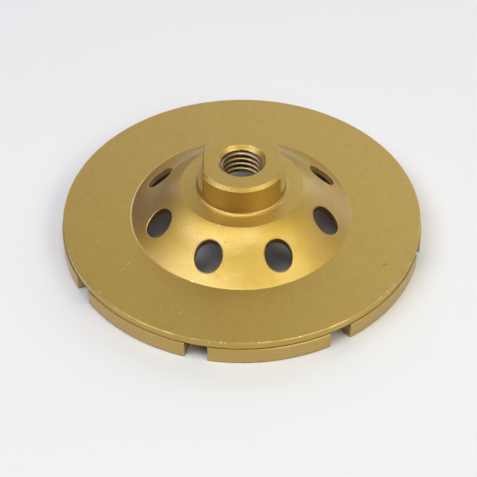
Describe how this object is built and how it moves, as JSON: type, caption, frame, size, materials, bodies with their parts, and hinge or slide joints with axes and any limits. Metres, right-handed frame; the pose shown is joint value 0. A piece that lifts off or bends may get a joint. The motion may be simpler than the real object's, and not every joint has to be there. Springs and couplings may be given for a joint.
{
  "type": "cup grinding wheel",
  "caption": "Dished steel cup wheel with curved abrasive segments under its rim, a domed centre with through holes, and a threaded hub with wrench flats.",
  "frame": {"origin": "on the wheel's axis, in the plane of the grinding faces", "axes": "+Z along the wheel's axis, from the grinding faces to the hub; the wrench flats face +X and -X"},
  "size_m": [0.1158, 0.1158, 0.03],
  "materials": {
    "gold_paint": "satin metallic gold paint on steel",
    "painted_segment": "satin metallic gold paint on sintered metal bond"
  },
  "bodies": {
    "root": {"wheel_body": "gold_paint", "segment_1": "painted_segment", "segment_2": "painted_segment", "segment_3": "painted_segment", "segment_4": "painted_segment", "segment_5": "painted_segment", "segment_6": "painted_segment", "segment_7": "painted_segment", "segment_8": "painted_segment"}
  },
  "joints": []
}
